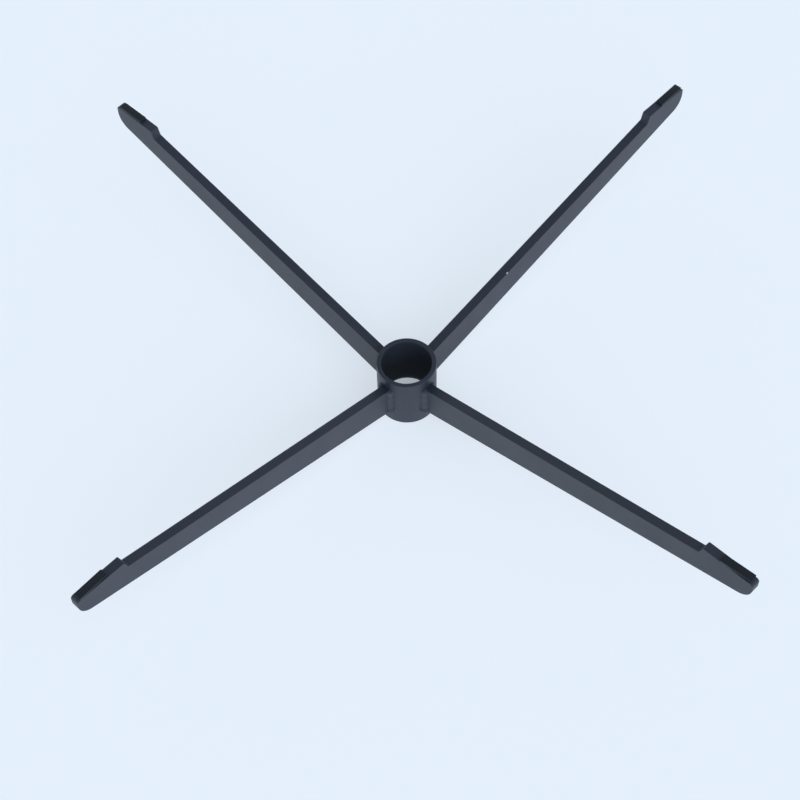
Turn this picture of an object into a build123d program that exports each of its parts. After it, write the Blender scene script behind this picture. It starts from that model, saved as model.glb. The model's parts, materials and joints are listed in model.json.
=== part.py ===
from build123d import *
import math
import os

# A welded steel base for a chair: a short hub tube with four plate legs.
# It stands upside down on the end of its hub that is uppermost in use, so the feet face up.
# Millimetres. The origin is the centre of the hub's resting end, and +Z runs up the hub's axis.

# Hub tube
hub_outer_diameter = 50.0
hub_wall = 3.9
hub_length = 53.0
hub_rim_bevel = 0.3
hub_bore_bevel = 0.8

# Legs, cut from flat plate and set on edge, with the root centred on the hub's length
leg_thickness = 8.0
leg_reach = 348.0
leg_root_height = 31.0
leg_upper_edge_angle = 13.0
leg_lower_edge_angle = 14.5
plate_edge_radius = 0.4

# Raised foot at the end of each leg
foot_length = 48.0
foot_step = 7.8
ramp_run = 2.5
ramp_root_radius = 1.5
ramp_top_radius = 1.0
tip_upper_radius = 3.2
tip_lower_radius = 14.0

# Pads stuck to the foot faces
pad_length = 27.0
pad_thickness = 2.2
pad_corner_radius = 0.8
pad_tip_margin = 0.2
pad_side_margin = 0.6

# Fillet beads that join each leg to the tube
weld_toe = 3.8
weld_centre_depth = 3.0
weld_end_bevel = 1.6
weld_low_stop = 0.8
weld_overrun = 1.2

# Where each leg points, in degrees about the hub
leg_angles = {"right": 0.0, "back": 90.0, "left": 180.0, "front": 270.0}

# How each pad was stuck on out of true: its turn in degrees, then its shifts sideways and outwards
pad_placings = {
    "right": (3.4, -0.2, 0.2),
    "back": (1.2, -0.35, 0.7),
    "left": (0.6, 0.25, -1.2),
    "front": (2.4, 0.15, 0.4),
}

# Places that follow from these sizes
hub_radius = hub_outer_diameter / 2
bore_radius = hub_radius - hub_wall
half_thickness = leg_thickness / 2
pad_width = leg_thickness - 2 * pad_side_margin
root_upper_height = (hub_length + leg_root_height) / 2
root_lower_height = (hub_length - leg_root_height) / 2
step_radius = leg_reach - foot_length


def upper_edge_height(radius):
    """Height of a leg's upper edge at a distance from the hub's axis."""
    return root_upper_height + (radius - hub_radius) * math.tan(math.radians(leg_upper_edge_angle))


def lower_edge_height(radius):
    """Height of a leg's lower edge at a distance from the hub's axis."""
    return root_lower_height + (radius - hub_radius) * math.tan(math.radians(leg_lower_edge_angle))


foot_face_height = upper_edge_height(step_radius) + foot_step


def upright_cylinder(radius, height):
    """A cylinder on the hub's axis that stands on the resting plane."""
    return Cylinder(radius, height, align=(Align.CENTER, Align.CENTER, Align.MIN))


def hub_tube():
    """The open tube, with the rims of both ends bevelled inside and out."""
    outside = upright_cylinder(hub_radius, hub_length)
    outside = chamfer(outside.edges().filter_by(GeomType.CIRCLE), hub_rim_bevel)
    tube = outside - upright_cylinder(bore_radius, hub_length)
    end_faces = tube.faces().filter_by(Axis.Z)
    bore_rims = [face.edges().sort_by(SortBy.RADIUS)[0] for face in end_faces]
    return chamfer(bore_rims, hub_bore_bevel)


def leg_plate():
    """One leg along +X: a tapering arm, a steep ramp, and a foot with a rounded tip."""
    profile = FilletPolyline(
        (0, lower_edge_height(0)),
        (leg_reach, lower_edge_height(leg_reach)),
        (leg_reach, foot_face_height),
        (step_radius + ramp_run, foot_face_height),
        (step_radius, upper_edge_height(step_radius)),
        (0, upper_edge_height(0)),
        radius=[tip_lower_radius, tip_upper_radius, ramp_top_radius, ramp_root_radius],
    )
    outline = make_face([profile, Line(profile @ 1, profile @ 0)])
    plate = extrude(Plane.XZ * outline, amount=half_thickness, both=True)
    side_edges = plate.faces().filter_by(Axis.Y).edges()
    cut_edges = side_edges.filter_by(lambda edge: edge.center().X > 0)
    plate = fillet(cut_edges, plate_edge_radius)
    return plate - upright_cylinder(hub_radius, hub_length)


def foot_pad(turn, sideways, outwards):
    """One pad on the flat of the foot along +X, a little out of true."""
    pad = extrude(RectangleRounded(pad_length, pad_width, pad_corner_radius), amount=pad_thickness)
    pad_centre = leg_reach - tip_upper_radius - pad_tip_margin - pad_length / 2
    return Pos(pad_centre + outwards, sideways, foot_face_height) * Rot(0, 0, turn) * pad


def weld_bead():
    """The fillet bead on the +Y side of the leg along +X, seated on the leg and on the tube."""
    corner = Vector(math.sqrt(hub_radius**2 - half_thickness**2), half_thickness)
    tube_slope = math.asin(half_thickness / hub_radius)
    bisector = math.pi / 4 + tube_slope / 2
    centre = corner - Vector(math.cos(bisector), math.sin(bisector)) * weld_centre_depth
    leg_toe = corner + Vector(weld_toe, 0)
    bead_radius = (leg_toe - centre).length
    low_end = root_lower_height + weld_low_stop
    high_end = root_upper_height + weld_overrun
    bead = upright_cylinder(bead_radius, high_end - low_end)
    bead = chamfer(bead.edges().filter_by(GeomType.CIRCLE), weld_end_bevel)
    bead = Pos(centre.X, centre.Y, low_end) * bead
    bead = split(bead, bisect_by=Plane.XZ.offset(-half_thickness), keep=Keep.BOTTOM)
    return bead - upright_cylinder(hub_radius, hub_length)


def weld_pair():
    """The beads on both sides of the leg along +X."""
    bead = weld_bead()
    return Compound(children=[bead, mirror(bead, about=Plane.XZ)])


os.makedirs("parts", exist_ok=True)
export_step(hub_tube(), "parts/hub_tube.step")
for place, angle in leg_angles.items():
    turn = Rot(0, 0, angle)
    export_step(turn * leg_plate(), f"parts/leg_{place}.step")
    export_step(turn * weld_pair(), f"parts/weld_{place}.step")
    export_step(turn * foot_pad(*pad_placings[place]), f"parts/foot_pad_{place}.step")
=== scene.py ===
import json
import math

import bpy
from mathutils import Matrix, Vector


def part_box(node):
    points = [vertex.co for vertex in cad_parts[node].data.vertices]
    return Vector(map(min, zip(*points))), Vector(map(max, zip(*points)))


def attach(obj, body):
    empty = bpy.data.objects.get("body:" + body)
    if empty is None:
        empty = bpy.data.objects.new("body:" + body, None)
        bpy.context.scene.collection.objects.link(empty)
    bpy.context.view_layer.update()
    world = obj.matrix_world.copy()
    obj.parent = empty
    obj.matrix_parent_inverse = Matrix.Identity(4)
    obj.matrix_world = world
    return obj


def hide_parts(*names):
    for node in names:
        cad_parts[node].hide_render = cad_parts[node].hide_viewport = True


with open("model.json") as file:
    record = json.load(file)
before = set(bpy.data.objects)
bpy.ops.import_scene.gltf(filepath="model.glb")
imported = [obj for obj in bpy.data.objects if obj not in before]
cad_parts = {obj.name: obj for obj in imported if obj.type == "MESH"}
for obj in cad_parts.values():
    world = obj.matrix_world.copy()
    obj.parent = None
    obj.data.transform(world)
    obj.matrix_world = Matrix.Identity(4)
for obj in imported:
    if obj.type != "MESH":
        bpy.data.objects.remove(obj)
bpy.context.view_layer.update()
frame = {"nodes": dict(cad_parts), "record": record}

MM = 0.001

# The photograph's camera, as fitted to the legs and the hub
picture_width_px = 800
lens_axis_px = (361.2, 408.2)
focal_length_px = 1734.5
view_azimuth_deg = 47.43
view_elevation_deg = 55.91
view_roll_deg = -3.57
view_distance = 1437.2 * MM
aim_right = -37.5 * MM
aim_up = -38.0 * MM

# The light: a sky that is dim overhead and pale near the horizon, and a broad bright patch on the right
daylight = "#eaf1ff"
overhead_strength = 0.255
horizon_strength = 0.6
horizon_reach = 0.9
patch_azimuth_deg = 70.0
patch_elevation_deg = 42.0
patch_spread_deg = 46.0
patch_strength = 3.2

# The floor: its width in metres, and the share of it that glows to the eye in the open and in the bore; the
# lower share in the bore is painted shade
floor_width = 12.0
floor_colour = "#ecf5fd"
open_glow_share = 0.65
painted_shade_bore_glow_share = 0.36

# Where each leg points, and how far its pad was stuck on out of line, in degrees
leg_angles = {"right": 0.0, "back": 90.0, "left": 180.0, "front": 270.0}
pad_turns = {"right": 3.4, "back": 1.2, "left": 0.6, "front": 2.4}

# Sizes of the CAD part
hub_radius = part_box("hub_tube")[1].x
hub_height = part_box("hub_tube")[1].z
half_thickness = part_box("leg_right")[1].y
bore = next(mount for mount in frame["record"]["mounts"] if mount["name"] == "hub_bore")
bore_radius = bore["dims"]["r_mm"] * MM

# The powder coat: two tones that drift slowly from one to the other, and its orange peel
coat_dark = "#18212c"
coat_light = "#212a38"
coat_drift_mm = 45
coat_smoothest = 0.46
coat_roughest = 0.54
coat_ior = 1.62
peel_width_mm = 2.2
peel_depth = 0.08 * MM

# The chip on the upper edge of the back leg, where the coat is off
chip_place = Vector((half_thickness, 120.2 * MM, 63.9 * MM))
chip_radius = 0.8 * MM
chip_raggedness = 0.5 * MM
bare_steel = "#b0b7bc"

# The thin film of powder in the bore, and how far in from each mouth the coat reaches
film_dark = "#182029"
film_light = "#202933"
film_drift_mm = 8
film_depth = 0.05 * MM
powder_drift_depth = 5.0 * MM

# The pads' foam. Its cells are drawn coarser than they are, so that they show
foam_dark = "#0a1119"
foam_light = "#111a24"
foam_cell_mm = 0.8
foam_cell_depth = 0.05 * MM

# Hub
hub_facets = 160
outer_rim_radius = 0.6 * MM
bore_rim_radius = 1.0 * MM
rim_steps = 6

# Weld beads: the centre of a bead's round lies inside the corner between leg and tube
bead_depth = 3.0 * MM
slim_bead_toe = 3.1 * MM
full_bead_toe = 3.9 * MM
bead_facets = 40
bead_ring_gap = 0.4 * MM
bead_ripple_pitch = 2.2 * MM
bead_ripple = 0.006
bead_sway_pitch = 9.0 * MM
bead_sway = 0.012
bead_lump_length = 5.0 * MM
bead_low_lump = 0.16
bead_high_lump = 0.04
bead_nose_length = 3.0 * MM
bead_nose_share = 0.3
bead_leg_burial = 0.4 * MM
bead_tube_burial = 1.6 * MM

# Pads
pad_length = 27.0 * MM
pad_width = 6.8 * MM
pad_corner_radius = 0.8 * MM
pad_edge_softness = 0.25 * MM


def linear(hex_colour):
    """An sRGB hex colour as the linear RGBA that the shaders take."""
    parts = [int(hex_colour[i:i + 2], 16) / 255 for i in (1, 3, 5)]
    return [p / 12.92 if p <= 0.04045 else ((p + 0.055) / 1.055) ** 2.4 for p in parts] + [1.0]


def per_mm(size_mm):
    """The texture scale at which one feature of a pattern is that many millimetres wide."""
    return 1 / (size_mm * MM)


def towards(azimuth_deg, elevation_deg):
    """The direction from the hub at an azimuth, from the front round to the right, and an elevation."""
    azimuth = math.radians(azimuth_deg)
    elevation = math.radians(elevation_deg)
    return Vector((
        math.sin(azimuth) * math.cos(elevation),
        -math.cos(azimuth) * math.cos(elevation),
        math.sin(elevation),
    ))


def add_node(tree, kind, settings=(), links=()):
    """Adds a node, sets its properties (by name) and sockets (by index or name), and links it."""
    node = tree.nodes.new(kind)
    for name, value in dict(settings).items():
        if hasattr(node, str(name)):
            setattr(node, name, value)
        else:
            node.inputs[name].default_value = value
    for name, socket in dict(links).items():
        tree.links.new(socket, node.inputs[name])
    return node


def new_material(name):
    """An empty node material with its output, and the output node."""
    material = bpy.data.materials.new(name)
    material.use_nodes = True
    material.node_tree.nodes.clear()
    return material, material.node_tree, add_node(material.node_tree, "ShaderNodeOutputMaterial")


def two_tones(tree, factor, dark, light):
    """A colour that runs from dark to light with a pattern."""
    ramp = add_node(tree, "ShaderNodeValToRGB", {}, {"Fac": factor})
    ramp.color_ramp.elements[0].color = linear(dark)
    ramp.color_ramp.elements[1].color = linear(light)
    return ramp.outputs["Color"]


def seen_directly(tree):
    """A value that is 1 for rays from the eye, from gloss and through glass, and 0 for all others."""
    path = add_node(tree, "ShaderNodeLightPath")
    eye_or_gloss = add_node(
        tree, "ShaderNodeMath", {"operation": "MAXIMUM"},
        {0: path.outputs["Is Camera Ray"], 1: path.outputs["Is Glossy Ray"]},
    )
    seen = add_node(
        tree, "ShaderNodeMath", {"operation": "MAXIMUM"},
        {0: eye_or_gloss.outputs["Value"], 1: path.outputs["Is Transmission Ray"]},
    )
    return seen.outputs["Value"]


def matt_black_powder_coat():
    """Polyester powder, sprayed on steel and baked: near black, with a soft broad sheen and orange peel.

    One small chip, on the edge of a leg, shows the pale steel.
    """
    material, tree, output = new_material("matt_black_powder_coat")
    place = add_node(tree, "ShaderNodeTexCoord")
    clouds = add_node(
        tree, "ShaderNodeTexNoise",
        {"Scale": per_mm(coat_drift_mm), "Detail": 3.0, "Roughness": 0.6},
        {"Vector": place.outputs["Object"]},
    )
    peel = add_node(
        tree, "ShaderNodeTexNoise",
        {"Scale": per_mm(peel_width_mm), "Detail": 2.0, "Roughness": 0.5},
        {"Vector": place.outputs["Object"]},
    )
    sheen = add_node(
        tree, "ShaderNodeMapRange",
        {"From Min": 0.3, "From Max": 0.7, "To Min": coat_smoothest, "To Max": coat_roughest},
        {"Value": clouds.outputs["Fac"]},
    )
    bump = add_node(
        tree, "ShaderNodeBump",
        {"Strength": 0.8, "Distance": peel_depth},
        {"Height": peel.outputs["Fac"]},
    )
    from_chip = add_node(
        tree, "ShaderNodeVectorMath",
        {"operation": "DISTANCE", 1: chip_place},
        {0: place.outputs["Object"]},
    )
    ragged = add_node(
        tree, "ShaderNodeMath", {"operation": "MULTIPLY_ADD", 1: chip_raggedness},
        {0: peel.outputs["Fac"], 2: from_chip.outputs["Value"]},
    )
    bare = add_node(
        tree, "ShaderNodeMapRange",
        {"From Min": chip_radius, "From Max": chip_radius + chip_raggedness, "To Min": 1.0, "To Max": 0.0},
        {"Value": ragged.outputs["Value"]},
    )
    colour = add_node(
        tree, "ShaderNodeMix", {"data_type": "RGBA", 7: linear(bare_steel)},
        {0: bare.outputs["Result"], 6: two_tones(tree, clouds.outputs["Fac"], coat_dark, coat_light)},
    )
    coat = add_node(
        tree, "ShaderNodeBsdfPrincipled", {"IOR": coat_ior},
        {
            "Base Color": colour.outputs[2],
            "Roughness": sheen.outputs["Result"],
            "Normal": bump.outputs["Normal"],
        },
    )
    tree.links.new(coat.outputs["BSDF"], output.inputs["Surface"])
    return material


def thin_dry_powder_in_bore():
    """The powder that drifts into the tube's bore: coated at both mouths, a thin dry dark film further in."""
    material, tree, output = new_material("thin_dry_powder_in_bore")
    place = add_node(tree, "ShaderNodeTexCoord")
    drift = add_node(
        tree, "ShaderNodeTexNoise",
        {"Scale": per_mm(film_drift_mm), "Detail": 4.0, "Roughness": 0.65},
        {"Vector": place.outputs["Object"]},
    )
    parts = add_node(tree, "ShaderNodeSeparateXYZ", {}, {"Vector": place.outputs["Object"]})
    from_middle = add_node(
        tree, "ShaderNodeMath", {"operation": "SUBTRACT", 1: hub_height / 2}, {0: parts.outputs["Z"]}
    )
    towards_mouth = add_node(
        tree, "ShaderNodeMath", {"operation": "ABSOLUTE"}, {0: from_middle.outputs["Value"]}
    )
    coated = add_node(
        tree, "ShaderNodeMapRange",
        {"From Min": hub_height / 2 - powder_drift_depth, "From Max": hub_height / 2},
        {"Value": towards_mouth.outputs["Value"]},
    )
    colour = add_node(
        tree, "ShaderNodeMix", {"data_type": "RGBA"},
        {
            0: coated.outputs["Result"],
            6: two_tones(tree, drift.outputs["Fac"], film_dark, film_light),
            7: two_tones(tree, drift.outputs["Fac"], coat_dark, coat_light),
        },
    )
    sheen = add_node(
        tree, "ShaderNodeMapRange", {"To Min": 0.8, "To Max": 0.45}, {"Value": coated.outputs["Result"]}
    )
    bump = add_node(
        tree, "ShaderNodeBump",
        {"Strength": 0.3, "Distance": film_depth},
        {"Height": drift.outputs["Fac"]},
    )
    film = add_node(
        tree, "ShaderNodeBsdfPrincipled", {"IOR": 1.5, "Specular IOR Level": 0.35},
        {
            "Base Color": colour.outputs[2],
            "Roughness": sheen.outputs["Result"],
            "Normal": bump.outputs["Normal"],
        },
    )
    tree.links.new(film.outputs["BSDF"], output.inputs["Surface"])
    return material


def black_foam_rubber():
    """Closed-cell foam rubber, die-cut from sheet: flat black, with a fine grain and a faint sheen."""
    material, tree, output = new_material("black_foam_rubber")
    place = add_node(tree, "ShaderNodeTexCoord")
    cells = add_node(
        tree, "ShaderNodeTexNoise",
        {"Scale": per_mm(foam_cell_mm), "Detail": 2.0},
        {"Vector": place.outputs["Object"]},
    )
    bump = add_node(
        tree, "ShaderNodeBump",
        {"Strength": 0.4, "Distance": foam_cell_depth},
        {"Height": cells.outputs["Fac"]},
    )
    foam = add_node(
        tree, "ShaderNodeBsdfPrincipled", {"Roughness": 0.5, "IOR": 1.5},
        {
            "Base Color": two_tones(tree, cells.outputs["Fac"], foam_dark, foam_light),
            "Normal": bump.outputs["Normal"],
        },
    )
    tree.links.new(foam.outputs["BSDF"], output.inputs["Surface"])
    return material


def pale_floor_board():
    """A plain sheet of pale, slightly blue board. To the eye a part of it glows, so its shadows are faint.
    Less of it glows inside the hub's bore, which paints shade on the floor there.
    """
    material, tree, output = new_material("pale_floor_board")
    colour = linear(floor_colour)
    board = add_node(tree, "ShaderNodeBsdfDiffuse", {"Color": colour})
    glow = add_node(tree, "ShaderNodeEmission", {"Color": colour, "Strength": 1.0})
    place = add_node(tree, "ShaderNodeTexCoord")
    from_axis = add_node(tree, "ShaderNodeVectorMath", {"operation": "LENGTH"}, {0: place.outputs["Object"]})
    # Painted shade: inside the hub's bore less of the floor glows, so it shows darker there than the light
    # alone makes it
    glow_share = add_node(
        tree, "ShaderNodeMapRange",
        {
            "From Min": bore_radius,
            "From Max": hub_radius,
            "To Min": painted_shade_bore_glow_share,
            "To Max": open_glow_share,
        },
        {"Value": from_axis.outputs["Value"]},
    )
    share = add_node(
        tree, "ShaderNodeMath", {"operation": "MULTIPLY"},
        {0: seen_directly(tree), 1: glow_share.outputs["Result"]},
    )
    surface = add_node(
        tree, "ShaderNodeMixShader", {},
        {0: share.outputs["Value"], 1: board.outputs["BSDF"], 2: glow.outputs["Emission"]},
    )
    tree.links.new(surface.outputs["Shader"], output.inputs["Surface"])
    return material


def paint(piece, *materials):
    """Gives a piece its materials, the first of them all over."""
    piece.data.materials.clear()
    for material in materials:
        piece.data.materials.append(material)


def apply_modifiers(piece):
    """Turns a piece's modifiers into its own mesh."""
    for modifier in list(piece.modifiers):
        bpy.ops.object.modifier_apply(modifier=modifier.name)


def settle(piece, name, slot, *nodes):
    """Fixes a finished piece to the part, in the place of the CAD nodes that it stands for."""
    piece.name = name
    bpy.ops.object.transform_apply(location=True, rotation=True, scale=True)
    bpy.ops.object.shade_smooth_by_angle(angle=math.radians(35))
    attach(piece, "root")
    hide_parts(*nodes)


def copy_of(piece, spot, turn_deg):
    """A copy of a piece with its own mesh, turned about its origin and moved."""
    bpy.ops.object.select_all(action="DESELECT")
    bpy.context.view_layer.objects.active = piece
    piece.select_set(True)
    bpy.ops.object.duplicate()
    copy = bpy.context.object
    copy.location = spot
    copy.rotation_euler.z = math.radians(turn_deg)
    return copy


def rounded_corner(radius, height, outwards, upwards, rounding):
    """Points of a rim's section round one corner, from the upright wall to the end face."""
    points = []
    for step in range(rim_steps + 1):
        angle = math.pi / 2 * step / rim_steps
        points.append((
            radius - outwards * rounding * (1 - math.cos(angle)),
            height - upwards * rounding * (1 - math.sin(angle)),
        ))
    return points


def hub_with_soft_rims(coat, bore_film):
    """The tube: a ring drawn out round its section, with rims that are rounded under the coat."""
    section = rounded_corner(hub_radius, hub_height, 1, 1, outer_rim_radius)
    section += reversed(rounded_corner(bore_radius, hub_height, -1, 1, bore_rim_radius))
    section += rounded_corner(bore_radius, 0, -1, -1, bore_rim_radius)
    section += reversed(rounded_corner(hub_radius, 0, 1, -1, outer_rim_radius))
    radius, height = section[-1]
    bpy.ops.mesh.primitive_circle_add(
        vertices=hub_facets, radius=radius, location=(0, 0, height), enter_editmode=True
    )
    hub = bpy.context.object
    for next_radius, next_height in section:
        bpy.ops.mesh.extrude_region_move(TRANSFORM_OT_translate={"value": (0, 0, next_height - height)})
        share = next_radius / radius
        bpy.ops.transform.resize(value=(share, share, 1), center_override=(0, 0, next_height))
        radius = next_radius
        height = next_height
    bpy.ops.mesh.select_all(action="SELECT")
    bpy.ops.mesh.remove_doubles(threshold=0.01 * MM)
    bpy.ops.mesh.normals_make_consistent(inside=False)
    bpy.ops.object.mode_set(mode="OBJECT")
    bpy.ops.object.transform_apply(location=True)
    paint(hub, coat, bore_film)
    for face in hub.data.polygons:
        face.material_index = int(face.center.xy.length < bore_radius)
    settle(hub, "hub", "powder_coat", "hub_tube")


def bead_swell(height, length):
    """How much wider than its mean a bead is at a height: ripples, a slow sway, lumps and rounded noses."""
    to_end = min(height, length - height)
    swell = 1 + bead_ripple * math.cos(2 * math.pi * height / bead_ripple_pitch)
    swell += bead_sway * math.sin(2 * math.pi * height / bead_sway_pitch)
    if to_end < bead_lump_length:
        lump = bead_low_lump if height == to_end else bead_high_lump
        swell += lump * math.sin(math.pi * to_end / bead_lump_length)
    if to_end < bead_nose_length:
        fall = 1 - to_end / bead_nose_length
        swell *= bead_nose_share + (1 - bead_nose_share) * math.sqrt(1 - fall**2)
    return swell


def bead(toe):
    """A bead on the left of the leg that points right: a round drawn up the corner by rings, and trimmed."""
    low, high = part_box("weld_right")
    corner = Vector((math.sqrt(hub_radius**2 - half_thickness**2), half_thickness))
    bisector = math.pi / 4 + math.asin(half_thickness / hub_radius) / 2
    centre = corner - bead_depth * Vector((math.cos(bisector), math.sin(bisector)))
    radius = (corner + Vector((toe, 0)) - centre).length
    length = high.z - low.z
    swell = bead_swell(0, length)
    bpy.ops.mesh.primitive_circle_add(
        vertices=bead_facets, radius=radius * swell, fill_type="NGON", enter_editmode=True,
        location=(centre.x, centre.y, low.z),
    )
    rings = round(length / bead_ring_gap)
    for ring in range(1, rings + 1):
        height = length * ring / rings
        bpy.ops.mesh.extrude_region_move(TRANSFORM_OT_translate={"value": (0, 0, length / rings)})
        next_swell = bead_swell(height, length)
        share = next_swell / swell
        bpy.ops.transform.resize(
            value=(share, share, 1), center_override=(centre.x, centre.y, low.z + height)
        )
        swell = next_swell
    bpy.ops.mesh.select_all(action="SELECT")
    bpy.ops.mesh.normals_make_consistent(inside=False)
    bpy.ops.mesh.bisect(
        plane_co=(0, half_thickness - bead_leg_burial, 0),
        plane_no=(0, 1, 0),
        use_fill=True,
        clear_inner=True,
    )
    bpy.ops.mesh.select_all(action="SELECT")
    # On the tube's side the cut is flat, square to the middle of the bead's seat and under the round wall
    outwards = Vector((corner.x, 2 * corner.y, 0)).normalized()
    bpy.ops.mesh.bisect(
        plane_co=outwards * (hub_radius - bead_tube_burial),
        plane_no=outwards,
        use_fill=True,
        clear_inner=True,
    )
    bpy.ops.object.mode_set(mode="OBJECT")
    bpy.ops.object.transform_apply(location=True)
    return bpy.context.object


def bead_pair():
    """Both beads of the leg that points right. The one on its right is fuller than the one on its left."""
    full_bead = bead(full_bead_toe)
    bpy.ops.object.mode_set(mode="EDIT")
    bpy.ops.mesh.select_all(action="SELECT")
    bpy.ops.transform.resize(value=(1, -1, 1), center_override=(0, 0, 0))
    bpy.ops.mesh.flip_normals()
    bpy.ops.object.mode_set(mode="OBJECT")
    slim_bead = bead(slim_bead_toe)
    full_bead.select_set(True)
    bpy.ops.object.join()
    return slim_bead


def weld_all_legs(coat):
    """A pair of beads at the root of each leg."""
    first = bead_pair()
    paint(first, coat)
    for place, angle in leg_angles.items():
        settle(copy_of(first, (0, 0, 0), angle), "beads_" + place, "powder_coat", "weld_" + place)
    bpy.data.objects.remove(first)


def die_cut(length, width, thickness, corner_radius, edge_softness):
    """A flat piece along X on the origin: a sheet with rounded corners, drawn up, and eased at its edges."""
    bpy.ops.mesh.primitive_plane_add(size=1, enter_editmode=True)
    sheet = bpy.context.object
    bpy.ops.transform.resize(value=(length, width, 1), center_override=(0, 0, 0))
    bpy.ops.mesh.bevel(offset=corner_radius, segments=5, affect="VERTICES")
    bpy.ops.mesh.extrude_region_move(TRANSFORM_OT_translate={"value": (0, 0, thickness)})
    bpy.ops.mesh.select_all(action="SELECT")
    bpy.ops.mesh.normals_make_consistent(inside=False)
    bpy.ops.object.mode_set(mode="OBJECT")
    soft_edges = sheet.modifiers.new("soft_edges", "BEVEL")
    soft_edges.width = edge_softness
    soft_edges.segments = 3
    soft_edges.limit_method = "ANGLE"
    soft_edges.angle_limit = math.radians(60)
    apply_modifiers(sheet)
    return sheet


def stick_pads(foam):
    """A pad on each foot, as far out of line as it was stuck on."""
    low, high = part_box("foot_pad_left")
    first = die_cut(pad_length, pad_width, high.z - low.z, pad_corner_radius, pad_edge_softness)
    paint(first, foam)
    for place, angle in leg_angles.items():
        low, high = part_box("foot_pad_" + place)
        middle = Vector(((low.x + high.x) / 2, (low.y + high.y) / 2, low.z))
        turn = angle + pad_turns[place]
        settle(copy_of(first, middle, turn), "pad_" + place, "pad", "foot_pad_" + place)
    bpy.data.objects.remove(first)


def lay_floor():
    """The floor that the hub stands on."""
    bpy.ops.mesh.primitive_plane_add(size=floor_width, location=(0, 0, 0))
    floor = bpy.context.object
    floor.name = "floor"
    paint(floor, pale_floor_board())


def soft_sky():
    """A sky that runs from pale at the horizon to dim overhead, and a patch of light that isn't seen."""
    world = bpy.data.worlds.new("soft_sky")
    bpy.context.scene.world = world
    world.use_nodes = True
    tree = world.node_tree
    tree.nodes.clear()
    place = add_node(tree, "ShaderNodeTexCoord")
    parts = add_node(tree, "ShaderNodeSeparateXYZ", {}, {"Vector": place.outputs["Generated"]})
    surroundings = add_node(
        tree, "ShaderNodeMapRange",
        {
            "interpolation_type": "SMOOTHSTEP",
            "From Min": 0.0,
            "From Max": horizon_reach,
            "To Min": overhead_strength + horizon_strength,
            "To Max": overhead_strength,
        },
        {"Value": parts.outputs["Z"]},
    )
    facing = add_node(
        tree, "ShaderNodeVectorMath",
        {"operation": "DOT_PRODUCT", 1: towards(patch_azimuth_deg, patch_elevation_deg)},
        {0: place.outputs["Generated"]},
    )
    patch = add_node(
        tree, "ShaderNodeMapRange",
        {
            "interpolation_type": "SMOOTHSTEP",
            "From Min": math.cos(math.radians(patch_spread_deg)),
            "From Max": 1.0,
            "To Min": 0.0,
            "To Max": patch_strength,
        },
        {"Value": facing.outputs["Value"]},
    )
    unseen = add_node(
        tree, "ShaderNodeMath", {"operation": "SUBTRACT", 0: 1.0}, {1: seen_directly(tree)}
    )
    strength = add_node(
        tree, "ShaderNodeMath", {"operation": "MULTIPLY_ADD"},
        {0: patch.outputs["Result"], 1: unseen.outputs["Value"], 2: surroundings.outputs["Result"]},
    )
    sky = add_node(
        tree, "ShaderNodeBackground", {"Color": linear(daylight)}, {"Strength": strength.outputs["Value"]}
    )
    add_node(tree, "ShaderNodeOutputWorld", {}, {"Surface": sky.outputs["Background"]})


def place_camera():
    """The camera at the photograph's angle, aimed near the rim of the hub."""
    back = towards(view_azimuth_deg, view_elevation_deg)
    level = Vector((-back.y, back.x, 0)).normalized()
    roll = Matrix.Rotation(math.radians(view_roll_deg), 3, back)
    right = roll @ level
    up = back.cross(right)
    rim_centre = Vector((0, 0, hub_height))
    spot = rim_centre + back * view_distance + right * aim_right + up * aim_up
    lens = bpy.data.cameras.new("photo_camera")
    lens.sensor_width = 36
    lens.lens = lens.sensor_width * focal_length_px / picture_width_px
    lens.shift_x = 0.5 - lens_axis_px[0] / picture_width_px
    lens.shift_y = lens_axis_px[1] / picture_width_px - 0.5
    camera = bpy.data.objects.new("photo_camera", lens)
    bpy.context.scene.collection.objects.link(camera)
    turn = Matrix((right, up, back)).transposed().to_4x4()
    camera.matrix_world = Matrix.Translation(spot) @ turn
    bpy.context.scene.camera = camera


bpy.ops.object.select_all(action="DESELECT")
bpy.context.scene.view_settings.view_transform = "Standard"
powder_coat = matt_black_powder_coat()
for place in leg_angles:
    paint(frame["nodes"]["leg_" + place], powder_coat)
hub_with_soft_rims(powder_coat, thin_dry_powder_in_bore())
weld_all_legs(powder_coat)
stick_pads(black_foam_rubber())
lay_floor()
soft_sky()
place_camera()
